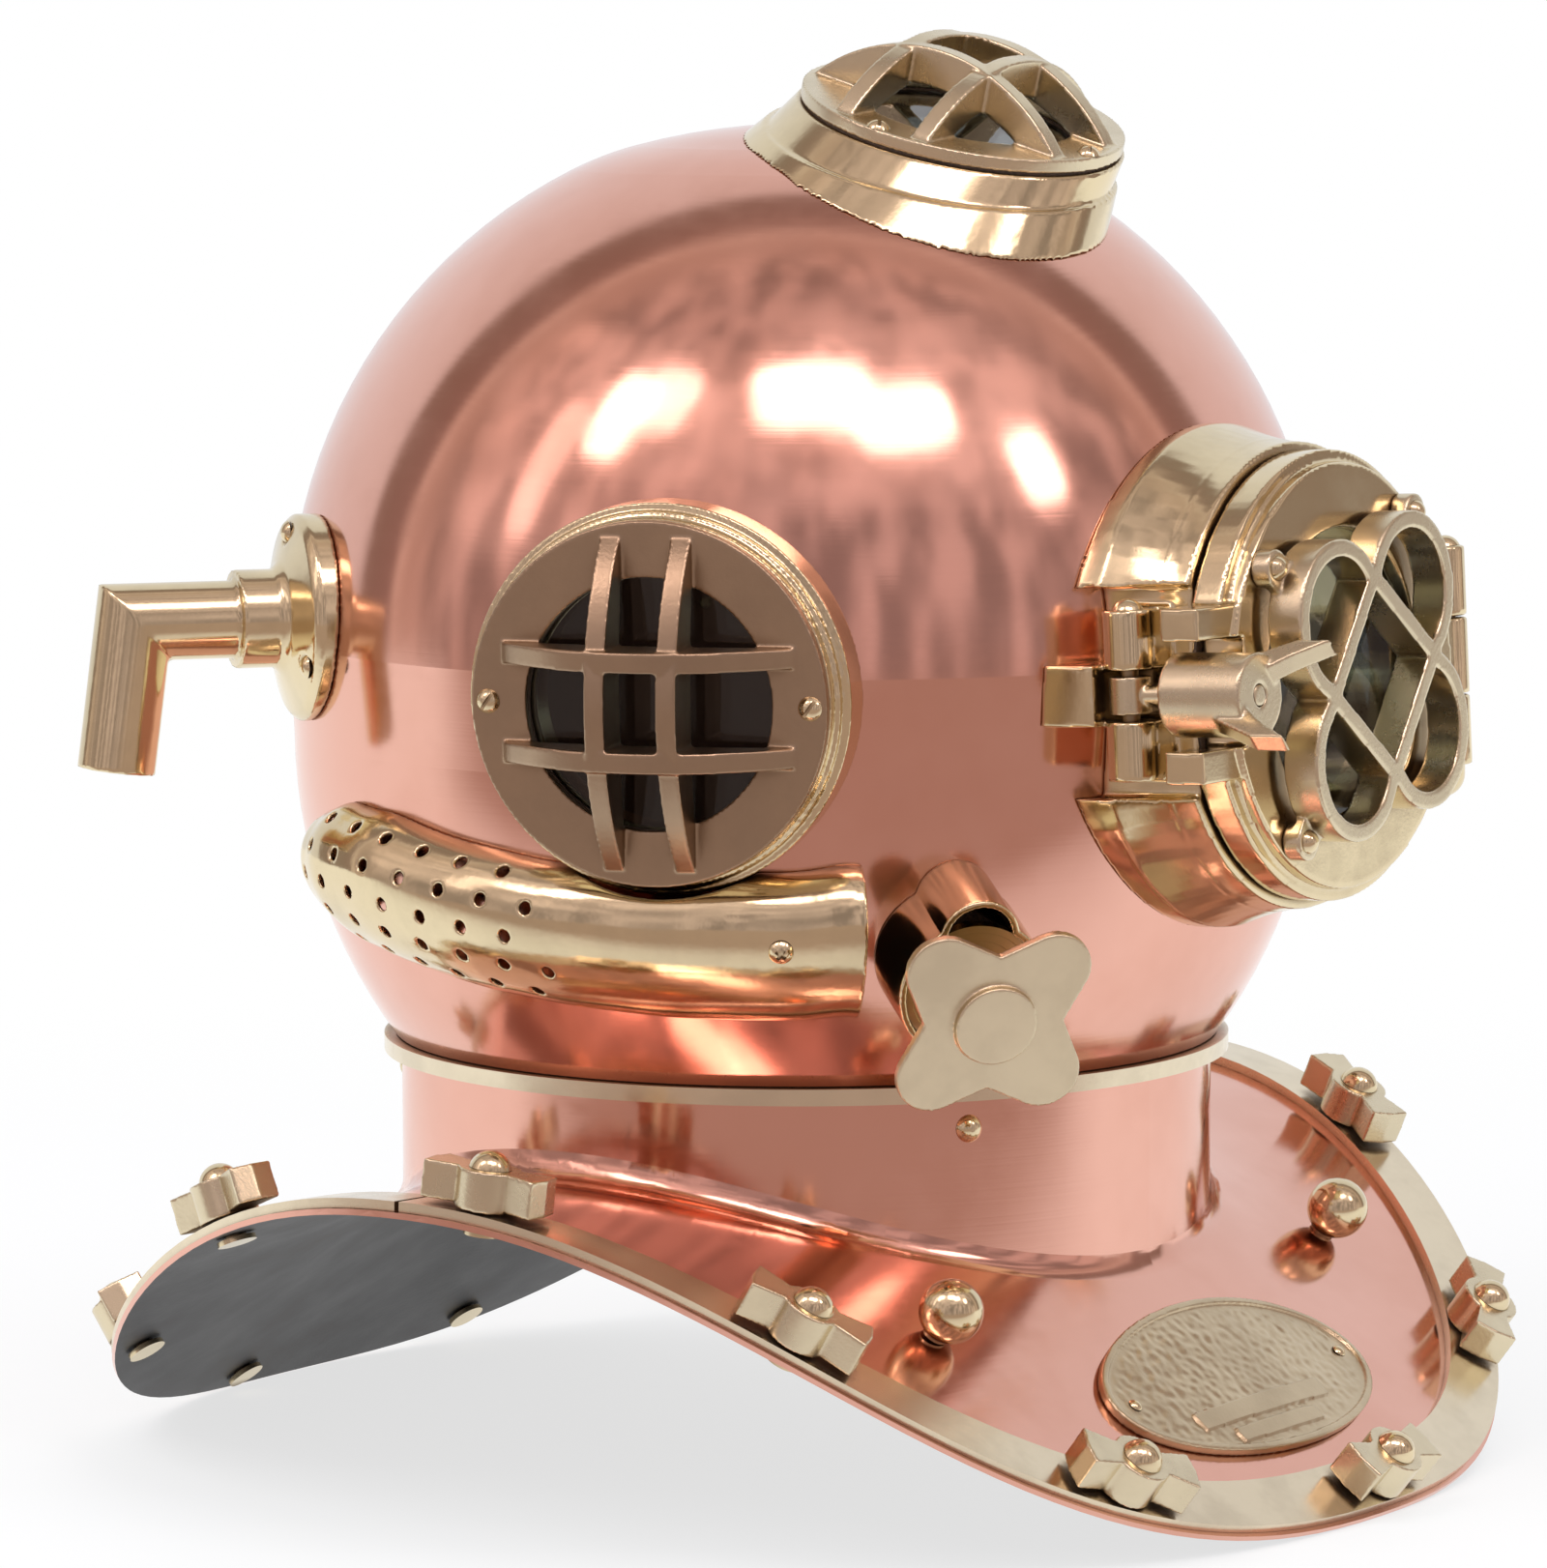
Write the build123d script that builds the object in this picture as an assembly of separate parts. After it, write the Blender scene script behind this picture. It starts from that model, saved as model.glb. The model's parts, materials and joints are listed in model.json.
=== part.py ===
from build123d import *
import os
from math import sin, cos, tan, asin, atan2, sqrt, radians, degrees, pi

os.makedirs("parts", exist_ok=True)

# A copper and brass diving helmet. The bonnet turns on the neck ring of a copper breastplate.
# +Z is up and the faceplate looks along -Y. The origin lies on the neck axis, on the surface
# that the breastplate rim stands on. Azimuths are in degrees from the front, towards the
# diver's right (-X). Lengths are in millimetres.

# Fits and clearances
overrun = 20.0
running_clearance = 0.1
fit_clearance = 0.2
hole_clearance = 0.3
face_gap = 0.4
seat_gap = 0.05

# Bonnet: two spherical caps joined by a short cone, with a flatter cap blended into the crown
crown_radius = 160.0
crown_height = 255.0
crown_cap_radius = 204.0
crown_cap_top = 412.2
crown_blend_radius = 100.0
lower_radius = 158.5
lower_height = 225.0
bonnet_wall = 1.8

# Breastplate rim, neck and shoulders
rim_half_width = 212.0
rim_reach = 208.0
shoulder_height = 100.0
rim_outline_power = 2.2
rim_rise_power = 3.0
neck_radius = 126.0
neck_top = 126.0
neck_foot_front = 68.0
neck_foot_side = 97.0
neck_fillet = 9.0
plate_wall = 1.8
plate_sections = 37

# Neck rings, bayonet lugs and gasket
ring_band_radius = 131.5
ring_band_height = 5.0
ring_bore_radius = 112.0
ring_spigot_radius = 116.0
ring_skirt_depth = 14.0
lug_radius = 120.5
lug_height = 4.0
lug_clearance = 0.5
lug_lift = 6.0
lug_angle = 42.0
lug_count = 4
bonnet_ring_height = 14.0
bonnet_ring_bore = 122.0
bonnet_lug_bore = 117.0
gasket_inner = 122.5
gasket_outer = 126.5
gasket_height = 1.6
neck_rivet_count = 3
neck_rivet_azimuth = 33.0
neck_rivet_drop = 9.0
bonnet_screw_rise = 7.5
rivet_head_radius = 4.2
rivet_shank_radius = 2.0

# Rim straps, studs and wing nuts
strap_width = 18.0
strap_thickness = 3.0
strap_edge = 1.5
strap_joint_gap = 0.8
nut_azimuths = (-1.0, 30.0, 57.0, 83.0, 112.0, 139.0, 170.0, 201.0, 233.0, 264.0, 294.0, 322.0)
stud_inset = 10.5
stud_radius = 3.2
stud_head_radius = 6.3
stud_head_height = 5.0
stud_foot_radius = 6.0
stud_foot_thickness = 1.5
nut_hub_radius = 9.3
nut_height = 12.0
nut_lift = 0.6
wing_lift = 0.8
wing_span = 39.0
wing_root = 7.5
wing_root_width = 9.5
wing_tip_width = 14.5
wing_point = 1.0

# Nameplate, with a raised rim and no lettering, and lanyard balls
plate_azimuth = 3.0
plate_length = 132.0
plate_width = 59.0
plate_thickness = 3.0
plate_inset = 59.0
plate_rim_width = 2.5
plate_rim_height = 1.0
plate_rivet_share = 0.86
plate_rivet_radius = 2.2
ball_radius = 9.6
ball_azimuth = 42.5
ball_inset = 60.0
ball_post_radius = 4.0

# Side ports
side_azimuth = 70.6
side_rise = -2.0
side_height = 249.0
side_distance = 175.0
side_flange_radius = 53.4
side_flange_thickness = 4.0
side_window_radius = 37.0
side_frame_radius = 57.5
side_frame_step = 2.5
side_step_depth = 4.5
side_bar_offset_x = 10.7
side_bar_offset_y = 14.5
side_upright_reach = 50.0
side_level_reach = 46.5
side_bar_height = 20.0
side_bar_room = 2.5

# Top port
top_rise = 72.9
top_azimuth = 19.2
top_seat = (0.0, -58.9, 417.2)
top_flange_radius = 49.8
top_flange_thickness = 4.2
top_frame_radius = 50.6
top_frame_depth = 22.0
top_ledge_depth = 14.0
top_ledge_step = 1.6
top_foot_depth = 30.0
top_foot_radius = 62.0
top_foot_shift = (-18.5, -3.0)
top_window_radius = 34.0
top_bar_offset = 14.0
top_bar_reach = 47.0
top_bar_height = 20.0
top_bar_room = 8.0

# Port glasses, gaskets and guards
glass_thickness = 8.0
glass_overlap = 6.0
port_gasket_thickness = 0.8
port_gasket_edge = 1.0
port_spigot_wall = 6.0
port_spigot_depth = 9.0
guard_bar_width = 6.0
guard_bar_root = 1.7
guard_screw_radius = 3.6
guard_screw_shank = 1.8
guard_screw_height = 2.2
guard_slot_width = 1.1
guard_slot_depth = 1.2
guard_screw_turn = 55.0
side_screw_azimuths = (0.0, 180.0)
top_screw_azimuths = (0.0, 90.0, 180.0, 270.0)
screw_depth = 10.0

# Front port frame and faceplate
front_distance = 194.0
front_height = 251.5
front_rise = 3.0
front_base_radius = 75.5
front_lip_radius = 69.5
front_lip_depth = 15.0
front_flare_depth = 26.0
front_bore_radius = 50.0
front_spigot_depth = 10.0
face_radius = 63.2
face_back_radius = 67.0
face_step_depth = 4.5
face_thickness = 14.3
face_window_radius = 44.0
face_flat = 57.0
frame_flat = 60.0
pocket_half_height = 31.0

# Faceplate hinge
hinge_offset = 77.0
hinge_depth = 9.0
hinge_radius = 6.0
hinge_pin_radius = 2.6
hinge_pin_head = 4.6
hinge_door_half_height = 11.5
hinge_frame_height = 22.0
hinge_gap = 0.5

# Faceplate clamp
clamp_offset = 72.0
clamp_pin_depth = 30.0
clamp_pin_radius = 2.6
clamp_pin_head = 4.6
clamp_lug_inner = 7.5
clamp_lug_outer = 25.0
clamp_lug_radius = 7.5
clamp_web_height = 18.0
clamp_web_depth = 38.0
clamp_web_reach = 80.0
bolt_eye_radius = 6.2
bolt_eye_height = 11.0
bolt_radius = 3.2
bolt_end = 14.0
clamp_nut_radius = 12.4
clamp_nut_start = -13.5
clamp_nut_end = 14.0
clamp_wing_radius = 19.0
clamp_wing_roll = 42.0
clamp_wing_reach = 17.0
clamp_wing_thickness = 6.5
clamp_wing_root = 4.5
prong_inner = 16.0
prong_outer = 25.5
prong_reach = 80.0
prong_front = 3.0

# Faceplate guard: four lobes and crossed bars, on four ears
guard_turn = 8.0
lobe_distance = 29.6
lobe_radius = 24.0
lobe_wall = 5.2
lattice_offset = 21.0
lattice_width = 5.5
lobe_guard_lift = 2.5
lobe_guard_depth = 11.5
ear_distance = 57.8
ear_radius = 5.6
ear_height = 6.0

# Exhaust valve
valve_azimuth = 39.3
valve_rise = -19.0
valve_height = 26.0
valve_radius = 22.5
valve_lobe_radius = 12.0
valve_lobe_offset = 17.0
valve_wall = 2.0
valve_floor = 4.0
valve_port_radius = 13.0
bridge_start = 16.0
bridge_thickness = 4.0
bridge_width = 8.0
spindle_radius = 4.0
disc_radius = 16.0
disc_thickness = 1.6
spring_radius = 6.8
spring_wire = 0.6
spring_turns = 4
wheel_start = 43.0
wheel_thickness = 3.2
wheel_lobe_radius = 11.0
wheel_lobe_distance = 23.5
wheel_notch_radius = 21.0
wheel_boss_radius = 12.2
wheel_boss_height = 2.5
wheel_count = 4

# Exhaust channel: a half tube on the lower bonnet, closed at the back
channel_azimuths = (49.5, 60.0, 72.0, 84.0, 96.0, 107.0, 115.0, 120.0, 123.5, 125.0)
channel_size_shares = (1.0, 0.98, 0.96, 0.96, 0.98, 1.0, 0.93, 0.74, 0.45, 0.16)
channel_rise_shares = (0.0, -0.1, -0.1, 0.05, 0.35, 0.75, 0.95, 1.0, 1.0, 1.0)
channel_height = 177.0
channel_rear_rise = 13.0
channel_half_height = 23.5
channel_bulge = 19.0
channel_wall = 1.6
channel_section_points = 9
channel_hole_radius = 1.9
channel_hole_rows = ((0.62, 88.0), (0.3, 84.5), (0.0, 87.0), (-0.3, 83.0), (-0.6, 86.0))
channel_hole_pitch = 5.2
channel_hole_columns = 7
channel_screw_azimuth = 58.0
channel_screw_share = 0.97

# Back elbows for air and telephone
elbow_azimuth = 128.0
elbow_height = 264.0
elbow_flange_radius = 31.5
elbow_flange_edge = 2.0
elbow_flange_height = 8.0
elbow_collar_radius = 15.0
elbow_collar_height = 22.0
elbow_reach = 53.0
elbow_drop = 45.0
elbow_slant = 7.5
elbow_tube_radius = 11.8
elbow_bore_radius = 8.0
elbow_socket_radius = 9.5
elbow_socket_depth = 20.0
elbow_screw_circle = 26.0
elbow_screw_count = 3
elbow_screw_lift = 5.0

# Spitcock, on the diver's left of the faceplate
cock_azimuth = -43.0
cock_height = 215.5
cock_foot_radius = 9.0
cock_foot_thickness = 3.0
cock_tube_radius = 5.0
cock_reach = 44.0
cock_barrel_radius = 7.5
cock_barrel_height = 17.0
cock_bore_radius = 3.5
lever_stem_height = 6.0
lever_arm = 11.0
lever_arm_radius = 2.2
lever_ball_radius = 5.4


# Shared helpers

def save(node, *shapes):
    """Write one node, as one solid or as a group of separate solids."""
    solids = [solid for shape in shapes for solid in shape.solids()]
    export_step(solids[0] if len(solids) == 1 else Compound(children=solids), f"parts/{node}.step")


def outward(azimuth, rise=0.0):
    a, b = radians(azimuth), radians(rise)
    return Vector(-sin(a) * cos(b), -cos(a) * cos(b), sin(b))


def facing(origin, azimuth, rise=0.0):
    """A plane that looks outward: its x runs to the right and its y runs up."""
    a = radians(azimuth)
    return Plane(origin=origin, x_dir=(cos(a), -sin(a), 0), z_dir=outward(azimuth, rise))


def drum(radius, start, end):
    return Pos(0, 0, start) * Cylinder(radius, end - start, align=(Align.CENTER, Align.CENTER, Align.MIN))


def pipe(outer, inner, start, end):
    return drum(outer, start, end) - drum(inner, start, end)


def block(x0, x1, y0, y1, z0, z1):
    return Pos(x0, y0, z0) * Box(x1 - x0, y1 - y0, z1 - z0, align=(Align.MIN, Align.MIN, Align.MIN))


def upright(radius, x, z, y0, y1):
    """A cylinder along the local y axis."""
    rod = Cylinder(radius, y1 - y0, align=(Align.CENTER, Align.CENTER, Align.MIN))
    return Pos(x, y0, z) * Rot(-90, 0, 0) * rod


def turned(*points):
    """A solid of revolution about the local z axis, from (radius, height) points."""
    return revolve(Plane.XZ * make_face(Polyline(*points, close=True)), Axis.Z)


def dome_cap(radius, height):
    """A shallow spherical cap on z = 0, of the given foot radius and height."""
    ball = (radius ** 2 + height ** 2) / (2 * height)
    return (Pos(0, 0, height - ball) * Sphere(ball)) & drum(radius + height, 0, height + height)


def domed_screw(head_radius, head_height, shank_radius, depth):
    return dome_cap(head_radius, head_height) + drum(shank_radius, -depth, head_height / 2)


def slotted(screw, head_radius, head_height, *turns):
    """A domed screw with a slot across its head for each turn given."""
    half = guard_slot_width / 2
    for turn in turns:
        screw -= Rot(0, 0, turn) * block(-head_radius, head_radius, -half, half,
                                         head_height - guard_slot_depth, head_height)
    return screw


def crown_blend(upper, cap):
    """Where an arc leaves the crown's sphere and where it meets the cap, as (radius, height)."""
    cap_centre = crown_cap_top - crown_cap_radius
    near, far = crown_radius - crown_blend_radius, crown_cap_radius - crown_blend_radius
    height = ((far ** 2 - near ** 2) / (crown_height - cap_centre) + crown_height + cap_centre) / 2
    radius = sqrt(near ** 2 - (height - crown_height) ** 2)
    crown_edge = radius * upper / near, crown_height + (height - crown_height) * upper / near
    return crown_edge, (radius * cap / far, cap_centre + (height - cap_centre) * cap / far)


def bonnet_solid(shrink):
    """The bonnet's outer form, smaller all round by shrink, down to the foot of the bonnet."""
    upper, lower = crown_radius - shrink, lower_radius - shrink
    foot = sqrt(lower ** 2 - (lower_height - bonnet_foot) ** 2)
    cap, blend = crown_cap_radius - shrink, crown_blend_radius - shrink
    crown_edge, cap_edge = crown_blend(upper, cap)
    side = Line((lower, lower_height), (upper, crown_height))
    shoulder = RadiusArc((upper, crown_height), crown_edge, -upper)
    bend = RadiusArc(crown_edge, cap_edge, -blend)
    top = RadiusArc(cap_edge, (0, crown_cap_top - shrink), -cap)
    bottom = RadiusArc((foot, bonnet_foot), (lower, lower_height), -lower)
    back = Polyline((0, crown_cap_top - shrink), (0, bonnet_foot), (foot, bonnet_foot))
    return revolve(Plane.XZ * make_face([side, shoulder, bend, top, bottom, back]), Axis.Z)


ring_top = neck_top + ring_band_height
bonnet_foot = ring_top + face_gap
bonnet_outside = bonnet_solid(0)
bonnet_inside = bonnet_solid(bonnet_wall)


# Breastplate

def radial(angle):
    return Vector(cos(angle), sin(angle), 0)


def rim_point(angle):
    """A point of the rim's lower edge; the angle is in radians from +X."""
    c, s = cos(angle), sin(angle)
    power = rim_outline_power
    reach = (abs(c / rim_half_width) ** power + abs(s / rim_reach) ** power) ** (-1 / power)
    return Vector(reach * c, reach * s, shoulder_height * abs(reach * c / rim_half_width) ** rim_rise_power)


def slope(angle):
    """The corner under the neck, the direction down to the rim and the normal off the plate."""
    foot = neck_foot_front + (neck_foot_side - neck_foot_front) * cos(angle) ** 2
    corner = radial(angle) * (neck_radius - plate_wall) + Vector(0, 0, foot)
    down = (rim_point(angle) - corner).normalized()
    normal = Vector(0, 0, down.dot(radial(angle))) - radial(angle) * down.Z
    return corner, down, normal


def plate_section(angle):
    """The plate cut at one angle: the neck, the fillet and the slope to the rim."""
    corner, down, normal = slope(angle)
    up = Vector(0, 0, 1)
    fillet = neck_fillet + plate_wall
    half_turn = radians(up.get_angle(down)) / 2
    tangent = fillet / tan(half_turn)
    middle = (up + down).normalized()
    centre = corner + middle * (fillet / sin(half_turn))
    rim = rim_point(angle)
    top = radial(angle) * (neck_radius - plate_wall) + Vector(0, 0, neck_top)
    start, end = corner + up * tangent, corner + down * tangent
    out = radial(angle) * plate_wall
    off = normal * plate_wall
    return Wire([
        Line(top, start), ThreePointArc(start, centre - middle * fillet, end), Line(end, rim),
        Line(rim, rim + off), Line(rim + off, end + off),
        ThreePointArc(end + off, centre - middle * neck_fillet, start + out),
        Line(start + out, top + out), Line(top + out, top)])


def band_section(angle, inner, outer, lift, thickness):
    """A flat band on the plate between two insets from the rim, measured along the slope."""
    corner, down, normal = slope(angle)
    rim = rim_point(angle) + normal * (plate_wall + lift)
    near, far = rim - down * inner, rim - down * outer
    off = normal * thickness
    return Wire(Polyline(near, far, far + off, near + off, close=True))


def swept_band(first, last, count, *sizes):
    """A band lofted between two azimuths."""
    angles = [radians(-90 - first - (last - first) * i / (count - 1)) for i in range(count)]
    return Solid.make_loft([band_section(angle, *sizes) for angle in angles])


def plate_spot(azimuth, inset):
    """A plane on the plate, inset along the slope from the rim, with z off the plate."""
    angle = radians(-90 - azimuth)
    corner, down, normal = slope(angle)
    step = radians(1)
    along = (rim_point(angle + step) - rim_point(angle - step)).normalized()
    off = down.cross(along).normalized()
    off = off if off.Z > 0 else -off
    return Plane(origin=rim_point(angle) - down * inset + normal * plate_wall, x_dir=along, z_dir=off)


half_angles = [radians(-90 + 180 * i / (plate_sections - 1)) for i in range(plate_sections)]
half_plate = Solid.make_loft([plate_section(angle) for angle in half_angles])
plate_blank = half_plate + mirror(half_plate, Plane.YZ)
nut_planes = [plate_spot(azimuth, stud_inset) for azimuth in nut_azimuths]
name_plane = plate_spot(plate_azimuth, plate_inset)
ball_planes = [plate_spot(side * ball_azimuth, ball_inset) for side in (1, -1)]
neck_rivet_azimuths = [neck_rivet_azimuth + 360 * i / neck_rivet_count for i in range(neck_rivet_count)]
neck_rivet_planes = [
    facing(outward(a) * neck_radius + Vector(0, 0, neck_top - neck_rivet_drop), a)
    for a in neck_rivet_azimuths]
bonnet_screw_height = bonnet_foot + bonnet_screw_rise
bonnet_screw_radius = sqrt(lower_radius ** 2 - (lower_height - bonnet_screw_height) ** 2)
bonnet_screw_tilt = -degrees(asin((lower_height - bonnet_screw_height) / lower_radius))
bonnet_screw_planes = [
    facing(outward(a) * bonnet_screw_radius + Vector(0, 0, bonnet_screw_height), a, bonnet_screw_tilt)
    for a in neck_rivet_azimuths]

stud_hole = drum(stud_radius + hole_clearance, -overrun, overrun)
rivet_hole = drum(rivet_shank_radius + hole_clearance, -overrun / 2, overrun / 2)

plate = plate_blank
for spot in nut_planes:
    plate -= spot * stud_hole
for spot in neck_rivet_planes:
    plate -= spot * rivet_hole
save("breastplate", plate)


def strap(first, last):
    band = swept_band(
        first, last, plate_sections, strap_edge, strap_edge + strap_width, seat_gap, strap_thickness)
    for spot in nut_planes:
        band -= spot * stud_hole
    return band


strap_trim = degrees(strap_joint_gap / rim_half_width)
save("front_rim_strap", strap(strap_trim - 90, 90 - strap_trim))
save("back_rim_strap", strap(90 + strap_trim, 270 - strap_trim))

nut_seat = seat_gap + strap_thickness + nut_lift
stud_top = nut_seat + nut_height + running_clearance
stud_foot = -plate_wall - face_gap * 2
stud_blank = (drum(stud_radius, stud_foot - stud_foot_thickness, stud_top)
              + drum(stud_foot_radius, stud_foot - stud_foot_thickness, stud_foot)
              + Pos(0, 0, stud_top) * dome_cap(stud_head_radius, stud_head_height))
save("rim_studs", *[spot * stud_blank for spot in nut_planes])


def wing_nut_blank():
    """A cast wing nut: a round hub as tall as its two wings, which widen to blunt ends."""
    half, root, tip = wing_span / 2, wing_root_width / 2, wing_tip_width / 2
    wing = make_face(Polyline((0, -root), (wing_root, -root), (half - wing_point, -tip), (half, 0),
                              (half - wing_point, tip), (wing_root, root), (0, root), close=True))
    wing = Pos(0, 0, wing_lift) * extrude(wing, nut_height - wing_lift)
    solid = drum(nut_hub_radius, 0, nut_height) + wing + Rot(0, 0, 180) * wing
    return solid - drum(stud_radius + running_clearance, -overrun, overrun)


nut_blank = wing_nut_blank()
for number, spot in enumerate(nut_planes, start=1):
    save(f"wing_nut_{number:02d}", spot * Pos(0, 0, nut_seat) * nut_blank)

# The nameplate follows the chest; its field is sunk inside a raised rim
plate_spread = 2 * degrees(plate_length / 2 / rim_reach)
oval = extrude(Ellipse(plate_length / 2, plate_width / 2), 2 * overrun)
oval_field = extrude(
    Ellipse(plate_length / 2 - plate_rim_width, plate_width / 2 - plate_rim_width), 2 * overrun)
name_band = swept_band(plate_azimuth - plate_spread, plate_azimuth + plate_spread, plate_sections,
                       strap_width + 2 * strap_edge, plate_inset + plate_width, seat_gap, plate_thickness)
name_field = swept_band(plate_azimuth - plate_spread, plate_azimuth + plate_spread, plate_sections,
                        strap_width, plate_inset + plate_width + overrun,
                        seat_gap + plate_thickness - plate_rim_height, plate_thickness)
place = name_plane * Pos(0, 0, -overrun)
nameplate = (name_band & (place * oval)) - (name_field & (place * oval_field))
pin_reach = plate_length / 2 * plate_rivet_share
pin_planes = []
for side in (1, -1):
    end = name_plane.from_local_coords(Vector(side * pin_reach, 0, 0))
    angle = atan2(end.Y, end.X)
    inset = (rim_point(angle) - end).dot(slope(angle)[1])
    pin_planes.append(plate_spot(-90 - degrees(angle), inset))
pin_hole = drum(plate_rivet_radius / 2 + hole_clearance, -overrun / 2, overrun / 2)
for spot in pin_planes:
    nameplate -= spot * pin_hole
save("nameplate", nameplate)

pin_depth = plate_thickness - plate_rim_height
name_pin = Pos(0, 0, pin_depth + face_gap) * domed_screw(
    plate_rivet_radius, plate_rivet_radius / 2, plate_rivet_radius / 2, pin_depth)
neck_rivet = Pos(0, 0, seat_gap) * domed_screw(
    rivet_head_radius, rivet_head_radius * 2 / 3, rivet_shank_radius, plate_wall)
save("breastplate_rivets", *[spot * neck_rivet for spot in neck_rivet_planes],
     *[spot * name_pin for spot in pin_planes])

ball_stud = (Pos(0, 0, ball_radius + face_gap) * Sphere(ball_radius)
             + drum(ball_post_radius, face_gap, ball_radius))
save("lanyard_balls", *[spot * ball_stud for spot in ball_planes])


# Neck ring, bonnet ring and gasket

def sector(radius, start, end, angle):
    """A slice of a drum, centred on the local x axis."""
    half = radians(angle / 2)
    tip = radius / cos(half)
    corners = (0, 0), (tip * cos(half), -tip * sin(half)), (tip * cos(half), tip * sin(half))
    face = make_face(Polyline(*corners, close=True))
    return drum(radius, start, end) & (Pos(0, 0, start) * extrude(face, end - start))


lug_base = ring_top + lug_lift
neck_ring = (pipe(ring_band_radius, ring_bore_radius, neck_top + seat_gap, ring_top)
             + pipe(neck_radius - plate_wall - seat_gap, ring_bore_radius, neck_top - ring_skirt_depth,
                    ring_top)
             + pipe(ring_spigot_radius, ring_bore_radius, ring_top - seat_gap, lug_base + lug_height))
for i in range(lug_count):
    turn = Rot(0, 0, 360 * i / lug_count)
    neck_ring += turn * (sector(lug_radius, lug_base, lug_base + lug_height, lug_angle)
                         - drum(ring_bore_radius, lug_base - overrun, lug_base + overrun))
groove = pipe(gasket_outer + seat_gap, gasket_inner - seat_gap, ring_top - gasket_height + seat_gap,
              ring_top + overrun)
neck_ring -= groove
for spot in neck_rivet_planes:
    neck_ring -= spot * drum(rivet_shank_radius + hole_clearance, -plate_wall - face_gap, overrun)
save("neck_ring", neck_ring)
save("neck_gasket", pipe(gasket_outer, gasket_inner, ring_top - gasket_height + 2 * seat_gap, ring_top))

lug_room = lug_base - lug_clearance - bonnet_foot
bonnet_ring = pipe(lower_radius, bonnet_ring_bore, bonnet_foot, bonnet_foot + bonnet_ring_height)
bonnet_ring &= bonnet_solid(bonnet_wall + seat_gap)
for i in range(lug_count):
    lug = sector(bonnet_ring_bore + lug_clearance, bonnet_foot, bonnet_foot + lug_room, lug_angle)
    lug -= drum(bonnet_lug_bore, bonnet_foot - overrun, lug_base)
    bonnet_ring += Rot(0, 0, 360 * i / lug_count) * lug
for spot in bonnet_screw_planes:
    bonnet_ring -= spot * drum(rivet_shank_radius + hole_clearance, -overrun / 4, overrun)
save("bonnet_ring", bonnet_ring)
bonnet_screw = Pos(0, 0, seat_gap) * domed_screw(
    rivet_head_radius, rivet_head_radius * 2 / 3, rivet_shank_radius, overrun / 4 - face_gap)
save("bonnet_ring_screws", *[spot * bonnet_screw for spot in bonnet_screw_planes])


# Ports. In each port's own frame z looks out and z = 0 is the outer face of its flange.

side_planes = [
    facing(outward(a) * side_distance + Vector(0, 0, side_height), a, side_rise)
    for a in (side_azimuth, -side_azimuth)]
top_plane = facing(Vector(*top_seat), top_azimuth, top_rise)
front_plane = facing(Vector(0, -front_distance, front_height), 0, front_rise)


def port_parts(flange, window, thickness):
    """The glass and gasket of a fixed port, and the depth of the frame's outer face."""
    gasket_back = -thickness - port_gasket_thickness
    gasket = pipe(flange - port_gasket_edge, window, gasket_back, -thickness - seat_gap)
    glass = drum(window + glass_overlap, gasket_back - glass_thickness, gasket_back - seat_gap)
    return glass, gasket, gasket_back


def port_frame(spot, steps, window, gasket_back, spigot, spigot_end):
    """A frame of stepped drums saddled on the bonnet, with a glass seat and a spigot through it."""
    frame = None
    for radius, start, end in steps:
        step = spot * drum(radius, start, end)
        frame = step if frame is None else frame + step
    frame = frame - bonnet_solid(-seat_gap) + spot * drum(spigot, spigot_end, steps[0][2])
    seat = gasket_back - glass_thickness - seat_gap
    frame -= spot * drum(window + glass_overlap + fit_clearance, seat, overrun)
    return frame - spot * drum(window, spigot_end - overrun, overrun)


def arch_slice(reach, height, width):
    """A slice of a cylinder that rises to a height over a level chord of the given half length."""
    radius = (reach ** 2 + height ** 2) / (2 * height)
    return Pos(0, 0, height - radius) * Rot(90, 0, 0) * Cylinder(radius, width)


def guard_bars(window, room, height, *bars_each_way):
    """Pairs of crossed bars, each a deep strip with an arched top and a lower arch under it."""
    bars = None
    for turn, offset, reach in bars_each_way:
        length, clear = sqrt(reach ** 2 - offset ** 2), sqrt(window ** 2 - offset ** 2)
        bar = arch_slice(length, height, guard_bar_width) & block(
            -reach, reach, -reach, reach, -guard_bar_root, height)
        bar -= arch_slice(clear, room, guard_bar_width + overrun)
        for side in (1, -1):
            placed = Rot(0, 0, turn) * Pos(0, side * offset, 0) * bar
            bars = placed if bars is None else bars + placed
    return bars


screw_hole = drum(guard_screw_shank + hole_clearance, -overrun, overrun)
port_screw_blank = Pos(0, 0, seat_gap) * slotted(
    domed_screw(guard_screw_radius, guard_screw_height, guard_screw_shank, screw_depth),
    guard_screw_radius, guard_screw_height, guard_screw_turn)


def guard_screw_spots(radius, azimuths):
    return [Pos(radius * cos(radians(a)), radius * sin(radians(a)), 0) for a in azimuths]


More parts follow.
